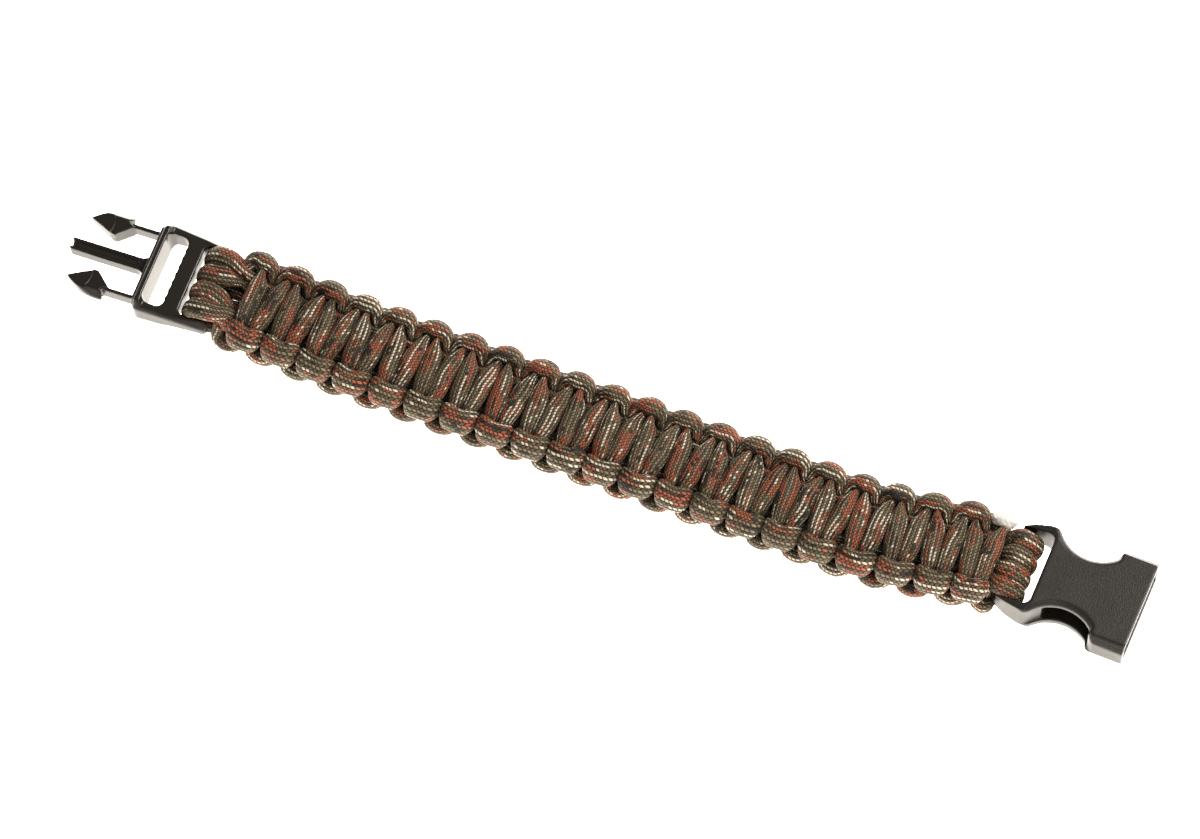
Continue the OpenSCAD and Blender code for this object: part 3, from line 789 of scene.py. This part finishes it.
def moulded_copy(node, material, size):
    """A copy of a CAD node's mesh with all its edges rounded, in its place."""
    mesh = bpy.data.objects[node].data.copy()
    work = bmesh.new()
    work.from_mesh(mesh)
    bmesh.ops.remove_doubles(work, verts=work.verts, dist=1e-6)
    work.to_mesh(mesh)
    work.free()
    obj = add_object(node + "_moulded", mesh)
    fine = obj.modifiers.new("fine", "REMESH")
    fine.mode = "VOXEL"
    fine.voxel_size = size.mesh_step
    rounding = obj.modifiers.new("rounding", "SMOOTH")
    rounding.factor = 0.5
    rounding.iterations = size.rounding
    finished = plain_mesh(obj, node + "_moulded")
    obj.modifiers.clear()
    finished.materials.clear()
    finished.materials.append(material)
    finished.polygons.foreach_set("use_smooth", [True] * len(finished.polygons))
    obj.data = finished
    face_outward(finished)
    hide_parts(node)
    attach(obj, BODY)


def build_melted_end():
    """A lump of melted nylon round the last rings of the lower strand."""
    rings = working_stations(-1)
    (first, _, _, _), (middle, outward, thick, wide), (last, _, _, _) = rings[-3:]
    axis = (last - first).normalized()
    out = (outward - outward.dot(axis) * axis).normalized()
    side = axis.cross(out)
    centre = middle - 0.5 * axis
    work = bmesh.new()
    bmesh.ops.create_icosphere(work, subdivisions=5, radius=1.0)
    for vertex in work.verts:
        point = vertex.co.copy()
        swell = sum((height * noise.noise(point * fineness)
                     for height, fineness in MELTED_LUMPS), 1)
        vertex.co = MM * (centre + swell * (
            axis * point.x * MELTED_HALF + side * point.y * wide * MELTED_SECTION
            + out * point.z * thick * MELTED_SECTION))
    mesh = bpy.data.meshes.new("melted_end")
    work.to_mesh(mesh)
    work.free()
    mesh.polygons.foreach_set("use_smooth", [True] * len(mesh.polygons))
    mesh.materials.append(melted_material())
    face_outward(mesh)
    lump = add_object("melted_end", mesh)
    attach(lump, BODY)


class BraceletCordSize(bpy.types.PropertyGroup):
    """Sizes of the braided cord's sheath"""

    stitch: bpy.props.FloatProperty(
        name="Stitch", description="Length of one stitch along the cord, in millimetres",
        default=0.72, min=0.4, max=1.5)
    columns: bpy.props.IntProperty(
        name="Columns", description="Columns of stitches around the cord, an even number",
        default=26, min=16, max=40)
    ring_step: bpy.props.FloatProperty(
        name="Ring step", description="Distance between the mesh's rings, in millimetres",
        default=0.5, min=0.3, max=2)
    sides: bpy.props.IntProperty(
        name="Sides", description="Points of the mesh around the cord",
        default=24, min=8, max=48)
    cut_step: bpy.props.FloatProperty(
        name="Cut step", description="Stitches of the same cord from one cut length to the next",
        default=2377.0, min=0, max=10000)
    flatness: bpy.props.FloatProperty(
        name="Width factor", description="Width of a cord's section against the CAD's",
        default=1.0, min=0.8, max=1.1, subtype="FACTOR")
    wander: bpy.props.FloatProperty(
        name="Wander", description="How far the cord strays from its even route",
        default=0.0005, min=0, max=0.002, subtype="DISTANCE")


class BraceletBuckleSize(bpy.types.PropertyGroup):
    """How finely the moulded buckle halves are meshed and rounded"""

    mesh_step: bpy.props.FloatProperty(
        name="Mesh step", description="Size of the faces of a moulded half",
        default=0.00019, min=0.0001, max=0.001, subtype="DISTANCE", precision=5)
    rounding: bpy.props.IntProperty(
        name="Rounding", description="Passes of smoothing over the moulded edges",
        default=10, min=0, max=20)
    prong_gloss: bpy.props.FloatProperty(
        name="Prong half roughness", description="Roughness of the prong half's plastic",
        default=0.26, min=0, max=1, subtype="FACTOR")
    socket_gloss: bpy.props.FloatProperty(
        name="Socket half roughness", description="Roughness of the socket half's plastic",
        default=0.35, min=0, max=1, subtype="FACTOR")


class BraceletColours(bpy.types.PropertyGroup):
    """Colours of the yarns and of the plastic"""

    olive: bpy.props.FloatVectorProperty(
        name="Olive", description="Dark yarn of the ground",
        default=(0.080, 0.056, 0.025), size=3, subtype="COLOR", min=0, max=1)
    grey: bpy.props.FloatVectorProperty(
        name="Olive grey", description="Light yarn of the ground",
        default=(0.275, 0.205, 0.118), size=3, subtype="COLOR", min=0, max=1)
    black: bpy.props.FloatVectorProperty(
        name="Black", description="Black yarn",
        default=(0.030, 0.021, 0.013), size=3, subtype="COLOR", min=0, max=1)
    rust: bpy.props.FloatVectorProperty(
        name="Rust", description="Rust red yarn",
        default=(0.38, 0.108, 0.05), size=3, subtype="COLOR", min=0, max=1)
    beige: bpy.props.FloatVectorProperty(
        name="Beige", description="Light yarn of the flecks",
        default=(0.66, 0.555, 0.41), size=3, subtype="COLOR", min=0, max=1)
    plastic: bpy.props.FloatVectorProperty(
        name="Plastic", description="Moulded nylon of the buckle",
        default=(0.014, 0.0112, 0.0085), size=3, subtype="COLOR", min=0, max=1)


class BRACELET_OT_working_strands(bpy.types.Operator):
    """Braid the two working strands over their CAD nodes"""

    bl_idname = "bracelet.working_strands"
    bl_label = "Working strands"

    def execute(self, context):
        size = context.scene.bracelet_cord
        colours = context.scene.bracelet_colours
        material = cord_material(colours, size.columns)
        for seed, (node, face) in enumerate((("front_strand", 1), ("back_strand", -1))):
            build_cord(node, working_stations(face), size, float(seed), 3.0,
                       material)
        return {"FINISHED"}


class BRACELET_OT_core_strands(bpy.types.Operator):
    """Braid the four core strands over their CAD nodes"""

    bl_idname = "bracelet.core_strands"
    bl_label = "Core strands"

    def execute(self, context):
        size = context.scene.bracelet_cord
        colours = context.scene.bracelet_colours
        material = cord_material(colours, size.columns)
        for i, lane in enumerate((-3, -1, 1, 3)):
            node = "core_strand_%d" % (i + 1)
            build_cord(node, core_stations(lane), size, 2.0 + i, 0.0, material)
        return {"FINISHED"}


class BRACELET_OT_buckle(bpy.types.Operator):
    """Give the two buckle halves their moulded plastic"""

    bl_idname = "bracelet.buckle"
    bl_label = "Buckle halves"

    def execute(self, context):
        colours = context.scene.bracelet_colours
        size = context.scene.bracelet_buckle
        moulded_copy("male_buckle", plastic_material(
            "prong_plastic", colours, size.prong_gloss, PRONG_GRAIN), size)
        moulded_copy("female_buckle", plastic_material(
            "socket_plastic", colours, size.socket_gloss, SOCKET_GRAIN), size)
        return {"FINISHED"}


class BRACELET_OT_melted_end(bpy.types.Operator):
    """Melt the cut end of the lower working strand into a pale lump"""

    bl_idname = "bracelet.melted_end"
    bl_label = "Melted end"

    def execute(self, context):
        build_melted_end()
        return {"FINISHED"}


class BRACELET_OT_studio(bpy.types.Operator):
    """Set the pale floor, the soft lights and the camera"""

    bl_idname = "bracelet.studio"
    bl_label = "Studio"

    def execute(self, context):
        add_floor()
        add_lights()
        add_camera()
        return {"FINISHED"}


def add_floor():
    mesh = bpy.data.meshes.new("floor")
    corners = [(x * FLOOR_HALF, y * FLOOR_HALF, FLOOR_Z * MM)
               for x, y in ((-1, -1), (1, -1), (1, 1), (-1, 1))]
    mesh.from_pydata(corners, [], [(0, 1, 2, 3)])
    floor = add_object("floor", mesh)
    material, build, shader = new_material("pale_floor")
    shader.inputs["Base Color"].default_value = (0.95, 0.95, 0.95, 1)
    shader.inputs["Roughness"].default_value = 0.6
    shader.inputs["Emission Color"].default_value = (1.0, 0.94, 0.85, 1)
    shader.inputs["Emission Strength"].default_value = 3.8
    mesh.materials.append(material)


def add_lights():
    world = bpy.data.worlds.new("studio")
    bpy.context.scene.world = world
    bpy.context.scene.view_settings.view_transform = "Standard"
    world.use_nodes = True
    background = world.node_tree.nodes["Background"]
    background.inputs["Color"].default_value = (1, 1, 1, 1)
    background.inputs["Strength"].default_value = 0.3
    # Name, place, width, power
    lights = [
        ("key", (0.45, 0.45, 0.77), 0.35, 11.0),
        ("fill", (0.45, -0.55, 0.65), 0.6, 2.0),
    ]
    for name, place, width, power in lights:
        light = bpy.data.lights.new(name, "AREA")
        light.size = width
        light.energy = power
        light.color = (1.0, 0.96, 0.9)
        lamp = bpy.data.objects.new(name, light)
        lamp.location = place
        lamp.rotation_euler = (-Vector(place)).to_track_quat("-Z", "Y").to_euler()
        bpy.context.scene.collection.objects.link(lamp)


def add_camera():
    azimuth = math.radians(CAMERA_AZIMUTH)
    elevation = math.radians(CAMERA_ELEVATION)
    aim = Vector(CAMERA_AIM) * MM
    back = Vector((math.sin(azimuth) * math.cos(elevation),
                   -math.cos(azimuth) * math.cos(elevation), math.sin(elevation)))
    camera = bpy.data.cameras.new("camera")
    camera.lens = CAMERA_LENS
    camera.sensor_width = 36
    camera.clip_end = 20
    view = bpy.data.objects.new("camera", camera)
    view.location = aim + back * CAMERA_AWAY
    view.rotation_euler = back.to_track_quat("Z", "Y").to_euler()
    bpy.context.scene.collection.objects.link(view)
    bpy.context.scene.camera = view


class BRACELET_PT_panel(bpy.types.Panel):
    """The bracelet's sizes, colours and steps"""

    bl_label = "Paracord bracelet"
    bl_idname = "BRACELET_PT_panel"
    bl_space_type = "VIEW_3D"
    bl_region_type = "UI"
    bl_category = "Bracelet"

    def draw(self, context):
        layout = self.layout
        scene = context.scene
        for group in (scene.bracelet_cord, scene.bracelet_buckle, scene.bracelet_colours):
            box = layout.box()
            for name in group.__annotations__:
                box.prop(group, name)
        for operator in OPERATORS:
            layout.operator(operator.bl_idname)


OPERATORS = (
    BRACELET_OT_buckle,
    BRACELET_OT_core_strands,
    BRACELET_OT_working_strands,
    BRACELET_OT_melted_end,
    BRACELET_OT_studio,
)
CLASSES = (BraceletCordSize, BraceletBuckleSize, BraceletColours) + OPERATORS
CLASSES += (BRACELET_PT_panel,)


def register():
    for cls in CLASSES:
        bpy.utils.register_class(cls)
    bpy.types.Scene.bracelet_cord = bpy.props.PointerProperty(type=BraceletCordSize)
    bpy.types.Scene.bracelet_buckle = bpy.props.PointerProperty(type=BraceletBuckleSize)
    bpy.types.Scene.bracelet_colours = bpy.props.PointerProperty(type=BraceletColours)


def unregister():
    del bpy.types.Scene.bracelet_colours
    del bpy.types.Scene.bracelet_buckle
    del bpy.types.Scene.bracelet_cord
    for cls in reversed(CLASSES):
        bpy.utils.unregister_class(cls)


def main():
    register()
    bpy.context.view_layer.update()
    bpy.ops.bracelet.buckle()
    bpy.ops.bracelet.core_strands()
    bpy.ops.bracelet.working_strands()
    bpy.ops.bracelet.melted_end()
    bpy.ops.bracelet.studio()


if __name__ == "__main__":
    main()
